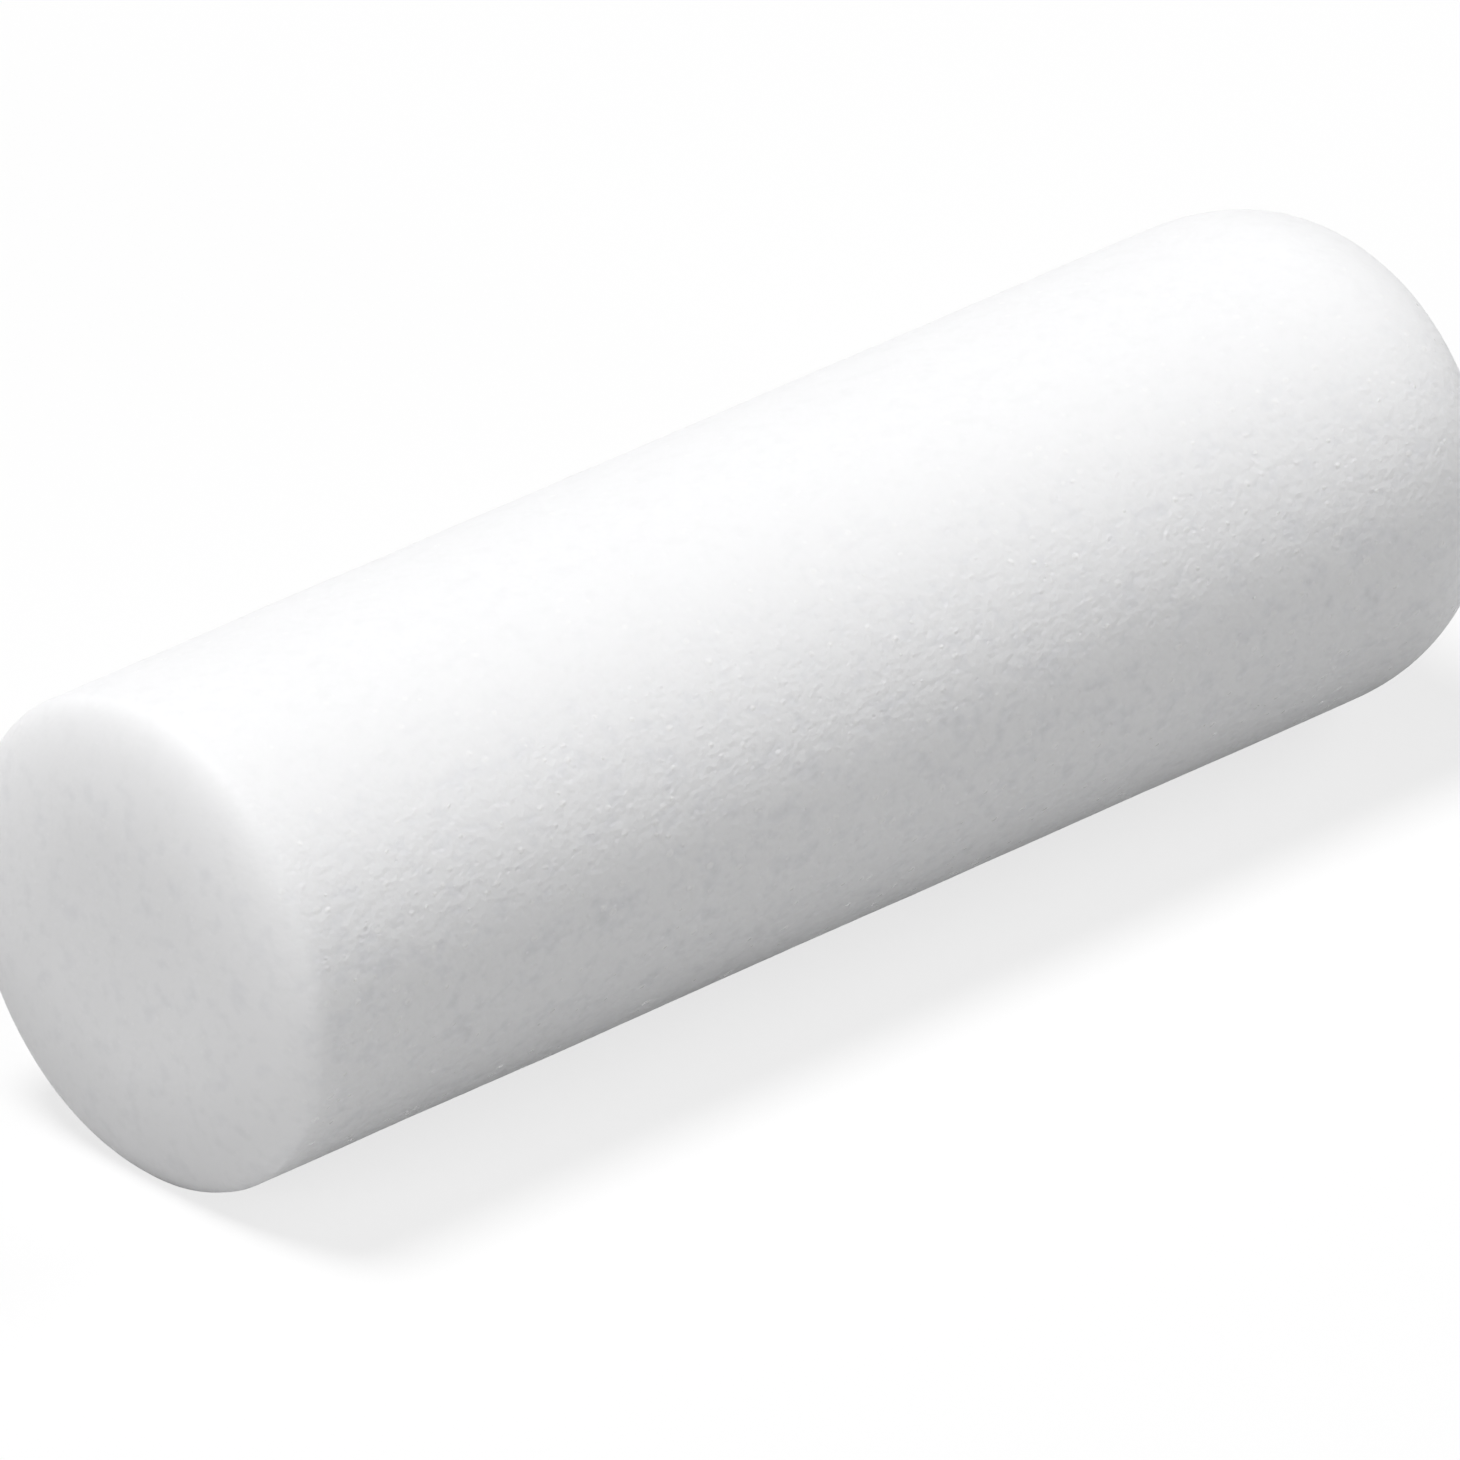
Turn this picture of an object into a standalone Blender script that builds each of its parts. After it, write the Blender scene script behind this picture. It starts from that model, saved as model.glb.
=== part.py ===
# Massage roller: one solid cylinder of white closed-cell foam, lying on its side.
# Units are metres and +Z is up. The roller's axis runs along X, its resting strip lies
# on z = 0, and the origin is on that strip, halfway along the roller.
# The end at -X is the cut end, which is nearly flat. The end at +X is the rounded end.

import math

import bmesh
import bpy

# Overall size
ROLLER_LENGTH = 0.450
ROLLER_DIAMETER = 0.140

# Cut end: a flat disc in the middle, then a shallow crown that falls away to the side
CUT_CROWN_DEPTH = 0.010
CUT_CROWN_WIDTH = 0.040

# Rounded end: a flat disc in the middle, then a deep soft rounding
ROUNDED_END_DEPTH = 0.038
ROUNDED_END_WIDTH = 0.024

# Resting strip: how deep the foam settles flat under the roller's own weight
REST_STRIP_DEPTH = 0.0005

# Fineness of the faceted surface
SIDES_AROUND = 96
CURVE_STEPS = 10
SHARP_EDGE_ANGLE = math.radians(30)

# White foam, matt
FOAM_COLOUR = (0.93, 0.93, 0.93, 1.0)
FOAM_ROUGHNESS = 0.85


def clear_scene():
    for old in list(bpy.data.objects):
        bpy.data.objects.remove(old, do_unlink=True)


def foam_material():
    foam = bpy.data.materials.new("white_foam")
    foam.use_nodes = True
    shader = foam.node_tree.nodes["Principled BSDF"]
    shader.inputs["Base Color"].default_value = FOAM_COLOUR
    shader.inputs["Roughness"].default_value = FOAM_ROUGHNESS
    shader.inputs["Metallic"].default_value = 0.0
    foam.diffuse_color = FOAM_COLOUR
    return foam


def end_curve(depth, width):
    # A quarter of an ellipse from the flat disc's rim to where the straight side starts.
    # Each point is (distance in from the end face, radius).
    side_radius = ROLLER_DIAMETER / 2
    points = []
    for step in range(CURVE_STEPS + 1):
        turn = step / CURVE_STEPS * math.pi / 2
        inward = depth * (1 - math.cos(turn))
        radius = side_radius - width * (1 - math.sin(turn))
        points.append((inward, radius))
    return points


def roller_outline():
    # The half outline from the cut end's flat disc along the side to the rounded end's
    half_length = ROLLER_LENGTH / 2
    cut_end = end_curve(CUT_CROWN_DEPTH, CUT_CROWN_WIDTH)
    rounded_end = end_curve(ROUNDED_END_DEPTH, ROUNDED_END_WIDTH)
    outline = [(-half_length + inward, radius) for inward, radius in cut_end]
    outline += [(half_length - inward, radius) for inward, radius in reversed(rounded_end)]
    return outline


def turn_outline(bm, outline):
    # Turns the outline once round the X axis
    points = [bm.verts.new((x, 0.0, radius)) for x, radius in outline]
    edges = [bm.edges.new(pair) for pair in zip(points, points[1:])]
    bmesh.ops.spin(
        bm,
        geom=points + edges,
        cent=(0, 0, 0),
        axis=(1, 0, 0),
        angle=2 * math.pi,
        steps=SIDES_AROUND,
        use_merge=True,
    )


def fill_open_rims(bm):
    rims = [edge for edge in bm.edges if edge.is_boundary]
    bmesh.ops.holes_fill(bm, edges=rims, sides=0)


def cut_rest_strip(bm):
    # Cuts the lowest sliver away level, which leaves a flat strip along the underside
    everything = bm.verts[:] + bm.edges[:] + bm.faces[:]
    bmesh.ops.bisect_plane(
        bm,
        geom=everything,
        plane_co=(0, 0, REST_STRIP_DEPTH - ROLLER_DIAMETER / 2),
        plane_no=(0, 0, -1),
        clear_outer=True,
    )
    fill_open_rims(bm)


def roller_body():
    bm = bmesh.new()
    turn_outline(bm, roller_outline())
    fill_open_rims(bm)
    cut_rest_strip(bm)
    lift = ROLLER_DIAMETER / 2 - REST_STRIP_DEPTH
    bmesh.ops.translate(bm, verts=bm.verts, vec=(0, 0, lift))
    bmesh.ops.recalc_face_normals(bm, faces=bm.faces)
    mesh = bpy.data.meshes.new("roller_body")
    bm.to_mesh(mesh)
    bm.free()
    mesh.shade_smooth()
    mesh.set_sharp_from_angle(angle=SHARP_EDGE_ANGLE)
    mesh.materials.append(foam_material())
    body = bpy.data.objects.new("roller_body", mesh)
    bpy.context.scene.collection.objects.link(body)


clear_scene()
roller_body()
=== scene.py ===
# Massage roller: one solid cylinder of white closed-cell foam, lying on a pale studio floor.
# Metres and +Z up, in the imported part's frame. The roller's axis runs along X, with the cut end
# at -X and the rounded end at +X.
import math
import bpy
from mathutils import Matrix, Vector


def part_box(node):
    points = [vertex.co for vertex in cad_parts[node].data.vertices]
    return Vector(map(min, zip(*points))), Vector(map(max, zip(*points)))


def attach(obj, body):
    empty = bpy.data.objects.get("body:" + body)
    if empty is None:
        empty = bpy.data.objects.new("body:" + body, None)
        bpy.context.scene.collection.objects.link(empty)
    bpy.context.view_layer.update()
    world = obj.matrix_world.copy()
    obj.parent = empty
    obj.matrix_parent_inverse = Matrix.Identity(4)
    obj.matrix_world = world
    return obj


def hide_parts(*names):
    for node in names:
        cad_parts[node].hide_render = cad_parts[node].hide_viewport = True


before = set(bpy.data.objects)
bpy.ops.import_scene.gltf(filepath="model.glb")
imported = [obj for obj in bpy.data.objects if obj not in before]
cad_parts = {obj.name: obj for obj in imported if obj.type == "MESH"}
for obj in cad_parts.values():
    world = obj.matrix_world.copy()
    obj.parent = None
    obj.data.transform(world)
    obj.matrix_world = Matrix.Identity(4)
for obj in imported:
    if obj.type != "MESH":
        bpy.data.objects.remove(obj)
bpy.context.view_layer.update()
bodyLow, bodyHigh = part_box("roller_body")
bodySize = bodyHigh - bodyLow
print("frame loaded, roller_body is", [round(side, 4) for side in bodySize])


class Flow:
    # one output socket of a node tree; sums, products and the like of flows add Math nodes
    def __init__(self, tree, socket=None):
        self.tree = tree
        self.socket = socket

    def node(self, kind, settings=None, inputs=None, output=0):
        # any node: its settings first, then the values or links of its sockets
        made = self.tree.nodes.new(kind)
        column, row = divmod(len(self.tree.nodes), 8)
        made.location = (180 * column, -190 * row)
        for name, value in (settings or {}).items():
            setattr(made, name, value)
        for name, value in (inputs or {}).items():
            if isinstance(value, Flow):
                self.tree.links.new(value.socket, made.inputs[name])
            else:
                made.inputs[name].default_value = value
        return Flow(self.tree, made.outputs[output] if len(made.outputs) else None)

    def maths(self, operation, *others):
        terms = dict(enumerate((self, *others)))
        return self.node("ShaderNodeMath", {"operation": operation}, terms)

    def vectorMaths(self, operation, *others):
        terms = dict(enumerate((self, *others)))
        return self.node("ShaderNodeVectorMath", {"operation": operation}, terms)

    def swapped(self, operation, first):
        return self.node("ShaderNodeMath", {"operation": operation}, {0: first, 1: self})

    def __add__(self, other):
        return self.maths("ADD", other)

    def __sub__(self, other):
        return self.maths("SUBTRACT", other)

    def __mul__(self, other):
        return self.maths("MULTIPLY", other)

    def __truediv__(self, other):
        return self.maths("DIVIDE", other)

    def __radd__(self, other):
        return self.swapped("ADD", other)

    def __rsub__(self, other):
        return self.swapped("SUBTRACT", other)

    def __rmul__(self, other):
        return self.swapped("MULTIPLY", other)

    def __rtruediv__(self, other):
        return self.swapped("DIVIDE", other)

    def part(self, axis):
        # the X, Y or Z of a vector
        return self.node("ShaderNodeSeparateXYZ", {}, {0: self}, output=axis)

    def clamped(self):
        return self.node("ShaderNodeClamp", {}, {"Value": self})

    def ramp(self, start, end):
        # 0 at start, 1 at end, eased between them
        return self.node(
            "ShaderNodeMapRange",
            {"interpolation_type": "SMOOTHSTEP"},
            {"Value": self, "From Min": start, "From Max": end},
        )


# Foam roller

roller = {
    "sizes": {
        # the length, the diameter and the height of the axis are the CAD body's own
        "Length": bodySize.x,
        "Diameter": bodySize.y,
        "Axis Height": bodyHigh.z - bodySize.y / 2,
        "Cut End Depth": 0.010,         # how far the cut end's crown falls away, and its width
        "Cut End Width": 0.040,
        "Rounded End Depth": 0.038,     # the same for the rounding of the other end
        "Rounded End Width": 0.024,
        "Wave Height": 0.00035,         # slow unevenness of the log
        "Wave Size": 0.055,
        "Wave Detail": 1.0,
        "Peel Height": 0.00007,         # fine unevenness of the skin
        "Peel Size": 0.0045,
        "Peel Detail": 2.0,
        "Cut End Peel": 0.35,           # share of the fine unevenness that the cut end shows
        "Peel From": 0.002,             # distances from the cut end between which the rest sets in
        "Peel To": 0.012,
        "Seed": 3.0,                    # another number gives another unevenness
    },
    "mesh": {
        "along": 280,                   # faces along the side
        "aroundQuarter": 72,            # faces round a quarter of it
        "crownSteps": 12,               # steps of the outline over the cut end's level disc
        "endSteps": 24,                 # steps of the outline round each end's curve
    },
    "foam": {
        "colour": (0.927, 0.928, 0.950, 1.0),
        # the greyer colour: painted shade in pits and in the low parts of lumps, and random
        # patches of tone
        "shadeAndMottleColour": (0.80, 0.805, 0.815, 1.0),
        "skinColour": (0.970, 0.968, 0.985, 1.0),
        # the glints' whiter colour is a painted glint
        "paintedGlintColour": (0.99, 0.99, 1.0, 1.0),
        "roughness": 0.62,
        "glintRoughness": 0.10,
        "specular": 0.30,
        "glow": 0.70,                   # share of the light that travels inside the foam
        "glowReach": 0.030,             # how far it travels there
        "stretch": 1.25,                # how much longer cells are along the roller than across
        "bend": 0.0005,                 # how far the scattered cells are bent out of round
        "bendScale": 700.0,
        "widthSpread": 0.4,             # how far their widths differ
        "pits": {"spacing": 0.0025, "width": 0.0018, "share": 0.15, "shift": (0, 0, 0)},
        "raised": {"spacing": 0.0025, "width": 0.0018, "share": 0.20, "shift": (0.3, 0.1, 0.7)},
        "glints": {"spacing": 0.0028, "width": 0.0020, "share": 0.14, "shift": (0.6, 0.8, 0.2)},
        "pitHeight": 0.00014,           # pits are small open cells
        "raisedHeight": 0.00012,        # raised cells stand out under the skin
        "glintHeight": 0.00028,         # glints are the few smooth cells, whose brighter colour is a painted glint
        "glintFill": 2.0,               # how far a glint's painted glint colour and its gloss spread over it
        "spotSkin": 0.8,                # share of the others' skin that light can't enter
        "reliefSize": 0.0028,           # soft lumps of the cells under the skin
        "reliefHeight": 0.00072,
        "reliefDetail": 1.5,
        "mottleSize": 0.006,            # patches of slightly different tone
        "mottleDetail": 2.0,
        "pitShade": 0.45,                # how far pits and the low parts of lumps (painted shade) and patches of tone go to the greyer colour
        "reliefShade": 0.8,
        "mottleTone": 1.5,
        "cutEndRelief": 0.18,           # shares of the side's lumps and cells on the cut end
        "cutEndSpots": 0.13,
        "sideBand": (0.002, 0.014),     # distances from the cut end over which the rest sets in
        "topGrain": 0.35,               # how strong the grain is along the top
        "topBand": (0.106, 0.134),      # heights over which it fades to that
        "lowGrain": 1.5,                # how strong it is low on the side
        "lowBand": (0.070, 0.105),      # heights over which it grows to that, downwards
    },
}


def rollerTree(sizes, mesh, material):
    tree = bpy.data.node_groups.new("foamRollerShape", "GeometryNodeTree")
    identifiers = {}
    for name, value in sizes.items():
        socket = tree.interface.new_socket(
            name=name, in_out="INPUT", socket_type="NodeSocketFloat"
        )
        socket.default_value = value
        identifiers[name] = socket.identifier
    tree.interface.new_socket(
        name="Geometry", in_out="OUTPUT", socket_type="NodeSocketGeometry"
    )
    start = Flow(tree)
    size = {name: start.node("NodeGroupInput", output=name) for name in sizes}
    radius = size["Diameter"] * 0.5

    # the outline, as a curve from the middle of the cut end to the middle of the rounded end:
    # the points of the level disc, of the cut end's curve, of the rounded end's, and the middle
    crown, steps = mesh["crownSteps"], mesh["endSteps"]
    line = start.node("GeometryNodeMeshLine", {}, {"Count": crown + 2 * steps + 3})
    path = start.node("GeometryNodeMeshToCurve", {}, {"Mesh": line})
    index = start.node("GeometryNodeInputIndex")
    cutTurn = ((index - crown) / steps).clamped() * (math.pi / 2)
    roundTurn = ((index - (crown + steps + 1)) / steps).clamped() * (math.pi / 2)
    pastSide = index.maths("GREATER_THAN", crown + steps + 0.5)
    offAxis = index.maths("LESS_THAN", crown + 2 * steps + 1.5)
    cutRadius = (
        (radius - size["Cut End Width"]) * (index / crown).maths("MINIMUM", 1.0)
        + size["Cut End Width"] * cutTurn.maths("SINE")
    )
    sideLength = size["Length"] - size["Cut End Depth"] - size["Rounded End Depth"]
    outlineX = (
        size["Cut End Depth"] * (1 - cutTurn.maths("COSINE"))
        + size["Rounded End Depth"] * roundTurn.maths("SINE")
        + pastSide * sideLength
        - size["Length"] * 0.5
    )
    roundingIn = size["Rounded End Width"] * (1 - roundTurn.maths("COSINE"))
    outlinePoint = start.node(
        "ShaderNodeCombineXYZ", {}, {"X": outlineX, "Y": offAxis * (cutRadius - roundingIn)}
    )
    outline = start.node(
        "GeometryNodeSetPosition", {}, {"Geometry": path, "Position": outlinePoint}
    )

    # a cube whose rings are spread along the outline: its ends become discs, its sides the side
    quarter, along = mesh["aroundQuarter"], mesh["along"]
    cube = start.node(
        "GeometryNodeMeshCube",
        {},
        {
            "Size": (2, 2, 2),
            "Vertices X": along + 1,
            "Vertices Y": quarter + 1,
            "Vertices Z": quarter + 1,
        },
    )
    place = start.node("GeometryNodeInputPosition")
    x, y, z = (place.part(axis) for axis in "XYZ")
    sizeY, sizeZ = y.maths("ABSOLUTE"), z.maths("ABSOLUTE")
    ring = sizeY.maths("MAXIMUM", sizeZ)
    mostlyZ = sizeZ.maths("GREATER_THAN", sizeY)
    turnY = (z / y) * (math.pi / 4) + y.maths("LESS_THAN", 0) * math.pi
    turnZ = math.pi / 2 - (y / z) * (math.pi / 4) + z.maths("LESS_THAN", 0) * math.pi
    turn = turnY + mostlyZ * (turnZ - turnY)
    endRings = quarter / 2
    onSide = ring.maths("GREATER_THAN", 1 - 0.25 / endRings)    # a quarter of a ring's step
    rounded = x.maths("GREATER_THAN", 0)
    sideCount = endRings + (x + 1) * (along / 2)
    endCount = ring * endRings + rounded * (2 * endRings + along - 2 * (ring * endRings))
    count = endCount + onSide * (sideCount - endCount)
    sampled = start.node(
        "GeometryNodeSampleCurve",
        {"mode": "FACTOR", "use_all_curves": True},
        {"Curves": outline, "Factor": count / (2 * endRings + along)},
        output="Position",
    )
    ringX, ringRadius = (sampled.part(axis) for axis in "XY")
    turned = start.node(
        "ShaderNodeCombineXYZ",
        {},
        {
            "X": ringX,
            "Y": ringRadius * turn.maths("COSINE"),
            "Z": ringRadius * turn.maths("SINE") + size["Axis Height"],
        },
    )
    shaped = start.node("GeometryNodeSetPosition", {}, {"Geometry": cube, "Position": turned})

    # unevenness, along the surface's own direction
    spot = start.node("GeometryNodeInputPosition")
    shifted = spot.vectorMaths("ADD", size["Seed"])

    def unevenness(kind):
        return start.node(
            "ShaderNodeTexNoise",
            {"noise_dimensions": "3D"},
            {
                "Vector": shifted,
                "Scale": 1 / size[kind + " Size"],
                "Detail": size[kind + " Detail"],
            },
        )

    fromCutEnd = spot.part("X") + size["Length"] * 0.5
    sideShare = fromCutEnd.ramp(size["Peel From"], size["Peel To"])
    peelShare = size["Cut End Peel"] + (1 - size["Cut End Peel"]) * sideShare
    lift = (
        (unevenness("Wave") - 0.5) * 2 * size["Wave Height"]
        + (unevenness("Peel") - 0.5) * 2 * peelShare * size["Peel Height"]
    )
    outward = start.node("GeometryNodeInputNormal")
    move = start.node(
        "ShaderNodeVectorMath", {"operation": "SCALE"}, {0: outward, "Scale": lift}
    )
    uneven = start.node("GeometryNodeSetPosition", {}, {"Geometry": shaped, "Offset": move})

    # the strip that it rests on is flat, on the floor
    ground = start.node("GeometryNodeInputPosition")
    groundX, groundY, groundZ = (ground.part(axis) for axis in "XYZ")
    pressed = start.node(
        "ShaderNodeCombineXYZ",
        {},
        {"X": groundX, "Y": groundY, "Z": groundZ.maths("MAXIMUM", 0.0)},
    )
    resting = start.node(
        "GeometryNodeSetPosition", {}, {"Geometry": uneven, "Position": pressed}
    )
    smooth = start.node(
        "GeometryNodeSetShadeSmooth", {}, {"Geometry": resting, "Shade Smooth": True}
    )
    real = start.node("GeometryNodeRealizeInstances", {}, {"Geometry": smooth})
    done = start.node("GeometryNodeSetMaterial", {}, {"Geometry": real, "Material": material})
    start.node("NodeGroupOutput", {}, {"Geometry": done})
    return tree, identifiers


def rollerSkin(sizes, mesh, material):
    # the tree's result as a plain mesh
    tree, identifiers = rollerTree(sizes, mesh, material)
    blank = bpy.data.objects.new("rollerBlank", bpy.data.meshes.new("rollerBlank"))
    bpy.context.scene.collection.objects.link(blank)
    shaper = blank.modifiers.new("foamRollerShape", "NODES")
    shaper.node_group = tree
    for name, value in sizes.items():
        shaper[identifiers[name]] = value
    graph = bpy.context.evaluated_depsgraph_get()
    skin = bpy.data.meshes.new_from_object(blank.evaluated_get(graph), depsgraph=graph)
    blank.modifiers.remove(shaper)
    bpy.data.objects.remove(blank)
    skin.materials.pop(index=0)     # the blank's own empty slot
    skin.name = "foamRoller"
    return skin


def scattered(place, cells, widthSpread):
    # round cells scattered over the surface: 1 in their middles, 0 outside them
    moved = place.vectorMaths("ADD", cells["shift"])
    inputs = {"Vector": moved, "Scale": 1 / cells["spacing"]}
    reach = place.node("ShaderNodeTexVoronoi", {}, inputs, output="Distance")
    tone = place.node("ShaderNodeTexVoronoi", {}, inputs, output="Color")
    pick, broad = tone.part("X"), tone.part("Y")
    widening = (1 - widthSpread) + (2 * widthSpread) * broad
    edge = widening * (cells["width"] / cells["spacing"] / 2)
    return pick.maths("LESS_THAN", cells["share"]) * (1 - (reach / edge).ramp(0.0, 1.0))


def tint(factor, first, second):
    return factor.node(
        "ShaderNodeMix",
        {"data_type": "RGBA"},
        {"Factor": factor.clamped(), "A": first, "B": second},
        output="Result",
    )


def foamMaterial(finish, length):
    material = bpy.data.materials.new("whiteFoam")
    material.use_nodes = True
    tree = material.node_tree
    tree.nodes.clear()
    start = Flow(tree)
    place = start.node("ShaderNodeTexCoord", output="Object")

    # how strong the grain is: weak on the cut end and along the top, strong low on the side
    side = (place.part("X") + length / 2).ramp(*finish["sideBand"])
    height = place.part("Z")
    top = 1 - (1 - finish["topGrain"]) * height.ramp(*finish["topBand"])
    low = 1 + (finish["lowGrain"] - 1) * side * (1 - height.ramp(*finish["lowBand"]))
    grain = top * low
    reliefShare = grain * (finish["cutEndRelief"] + (1 - finish["cutEndRelief"]) * side)
    spotShare = grain * (finish["cutEndSpots"] + (1 - finish["cutEndSpots"]) * side)

    # the patterns: soft lumps, patches of tone, and three kinds of scattered cells
    along = place.vectorMaths("MULTIPLY", (1 / finish["stretch"], 1, 1))

    def noise(size, detail):
        return start.node(
            "ShaderNodeTexNoise", {}, {"Vector": along, "Scale": 1 / size, "Detail": detail}
        )

    relief = noise(finish["reliefSize"], finish["reliefDetail"])
    mottle = noise(finish["mottleSize"], finish["mottleDetail"])
    wobble = start.node(
        "ShaderNodeTexNoise", {}, {"Vector": along, "Scale": finish["bendScale"]}, output="Color"
    )
    bent = wobble.vectorMaths("MULTIPLY_ADD", (finish["bend"],) * 3, along)
    pits, raised, glints = (
        spotShare * scattered(bent, finish[kind], finish["widthSpread"])
        for kind in ("pits", "raised", "glints")
    )
    relievedHeight = (
        relief * (reliefShare * finish["reliefHeight"])
        + raised * finish["raisedHeight"]
        + glints * finish["glintHeight"]
        - pits * finish["pitHeight"]
    )
    relievedNormal = start.node(
        "ShaderNodeBump", {}, {"Height": relievedHeight, "Distance": 1.0, "Strength": 1.0}
    )

    # painted shade: pits and the low parts of lumps are greyer; patches of tone are greyer at
    # random; glints are smoother, and whiter as a painted glint
    shadeAndMottle = (
        pits * finish["pitShade"]
        + (0.5 - relief) * reliefShare * finish["reliefShade"]
        + (0.5 - mottle) * grain * finish["mottleTone"]
    )
    gleam = (glints * finish["glintFill"]).clamped()
    colour = tint(
        gleam, tint(shadeAndMottle, finish["colour"], finish["shadeAndMottleColour"]), finish["paintedGlintColour"]
    )
    roughness = finish["roughness"] + (finish["glintRoughness"] - finish["roughness"]) * gleam
    foamed = start.node(
        "ShaderNodeBsdfPrincipled",
        {"subsurface_method": "RANDOM_WALK"},
        {
            "Base Color": colour,
            "Roughness": roughness,
            "Specular IOR Level": finish["specular"],
            "Subsurface Weight": finish["glow"],
            "Subsurface Radius": (1.0, 1.0, 1.0),
            "Subsurface Scale": finish["glowReach"],
            "Normal": relievedNormal,
        },
    )
    skin = start.node(
        "ShaderNodeBsdfDiffuse", {}, {"Color": finish["skinColour"], "Normal": relievedNormal}
    )
    skinShare = raised.maths("MAXIMUM", pits) * finish["spotSkin"]
    surface = start.node("ShaderNodeMixShader", {}, {0: skinShare, 1: foamed, 2: skin})
    start.node("ShaderNodeOutputMaterial", {}, {"Surface": surface})
    return material


# Studio: floor, world, lamps and camera

studio = {
    "floorSeen": 0.93,          # the floor's own tone, as the camera sees it
    "floorBounce": 0.43,        # its tone for the light that it throws back on the object
    "floorSize": 60.0,
    "shadowShare": 0.25,        # how much of the floor's shading the camera sees
    "ambient": 0.0,             # strength of the world's light on the object
    "lamps": {
        # name: azimuth and elevation of the lamp in degrees, its width in degrees, its strength
        "overheadLamp": (-132, 77, 20, 2.64),
        "leftLamp": (-87, 15, 28, 0.84),
        "rightLamp": (70, 30, 30, 0.82),
        "frontLamp": (3, 8, 14, 0.54),
        "rearLamp": (-175, 5, 10, 0.29),
    },
    "lampDistance": 3.0,
    "azimuth": -42.55,          # where the camera stands, as seen from the middle of the roller
    "elevation": 28.4,
    "distance": 8.03,
    "lens": 735.6,
    "sensor": 36.0,
    "offsetRight": 0.00499,     # where the middle of the roller is in the picture
    "offsetUp": 0.01263,
}


def sees(start):
    # 1 for what the camera, a reflection or a clear body looks at, 0 for light that falls
    camera, glossy, clear = (
        start.node("ShaderNodeLightPath", output=name)
        for name in ("Is Camera Ray", "Is Glossy Ray", "Is Transmission Ray")
    )
    return (camera + glossy + clear).maths("MINIMUM", 1.0)


def floorPlane(values):
    half = values["floorSize"] / 2
    mesh = bpy.data.meshes.new("studioFloor")
    corners = [(-half, -half, 0), (half, -half, 0), (half, half, 0), (-half, half, 0)]
    mesh.from_pydata(corners, [], [(0, 1, 2, 3)])
    material = bpy.data.materials.new("paleFloor")
    material.use_nodes = True
    material.node_tree.nodes.clear()
    start = Flow(material.node_tree)
    seen = sees(start)
    tone = values["floorBounce"] + seen * (values["floorSeen"] - values["floorBounce"])
    shaded = start.node("ShaderNodeBsdfDiffuse", {}, {"Color": tone})
    plain = start.node("ShaderNodeEmission", {}, {"Color": (1, 1, 1, 1), "Strength": 1.0})
    plainShare = seen * (1 - values["shadowShare"])
    both = start.node("ShaderNodeMixShader", {}, {0: plainShare, 1: shaded, 2: plain})
    start.node("ShaderNodeOutputMaterial", {}, {"Surface": both})
    mesh.materials.append(material)
    floor = bpy.data.objects.new("studioFloor", mesh)
    bpy.context.scene.collection.objects.link(floor)
    return floor


def studioWorld(values):
    world = bpy.data.worlds.new("studioWorld")
    world.use_nodes = True
    world.node_tree.nodes.clear()
    start = Flow(world.node_tree)
    strength = values["ambient"] + sees(start) * (1 - values["ambient"])
    sky = start.node("ShaderNodeBackground", {}, {"Color": (1, 1, 1, 1), "Strength": strength})
    start.node("ShaderNodeOutputWorld", {}, {"Surface": sky})
    bpy.context.scene.world = world


def away(azimuth, elevation):
    # from the object towards a viewer or a lamp; azimuth 0 is at -Y and 90 at +X
    turn, rise = math.radians(azimuth), math.radians(elevation)
    level = math.cos(rise)
    return Vector((math.sin(turn) * level, -math.cos(turn) * level, math.sin(rise)))


def studioLamps(values):
    for name, (azimuth, elevation, width, strength) in values["lamps"].items():
        light = bpy.data.lights.new(name, "SUN")
        light.energy = strength
        light.angle = math.radians(width)
        lamp = bpy.data.objects.new(name, light)
        towards = away(azimuth, elevation)
        lamp.location = towards * values["lampDistance"]
        lamp.rotation_euler = (-towards).to_track_quat("-Z", "Y").to_euler()
        bpy.context.scene.collection.objects.link(lamp)


def photoCamera(values, centre):
    data = bpy.data.cameras.new("photoCamera")
    data.sensor_width = values["sensor"]
    data.lens = values["lens"]
    camera = bpy.data.objects.new("photoCamera", data)
    back = away(values["azimuth"], values["elevation"])
    facing = (-back).to_track_quat("-Z", "Y")
    right, up = facing @ Vector((1, 0, 0)), facing @ Vector((0, 1, 0))
    camera.location = (
        centre
        + back * values["distance"]
        - right * values["offsetRight"]
        - up * values["offsetUp"]
    )
    camera.rotation_euler = facing.to_euler()
    bpy.context.scene.collection.objects.link(camera)
    bpy.context.scene.camera = camera


bpy.context.scene.view_settings.view_transform = "Standard"
floor = floorPlane(studio)
studioWorld(studio)
studioLamps(studio)
photoCamera(studio, Vector((0, 0, roller["sizes"]["Axis Height"])))
print("studio set: floor, world,", len(studio["lamps"]), "lamps and camera")

whiteFoam = foamMaterial(roller["foam"], roller["sizes"]["Length"])
rollerMesh = rollerSkin(roller["sizes"], roller["mesh"], whiteFoam)
foamRoller = bpy.data.objects.new("foamRoller", rollerMesh)
bpy.context.scene.collection.objects.link(foamRoller)
print("foam roller shaped:", len(foamRoller.data.polygons), "faces")

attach(foamRoller, "root")
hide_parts("roller_body")
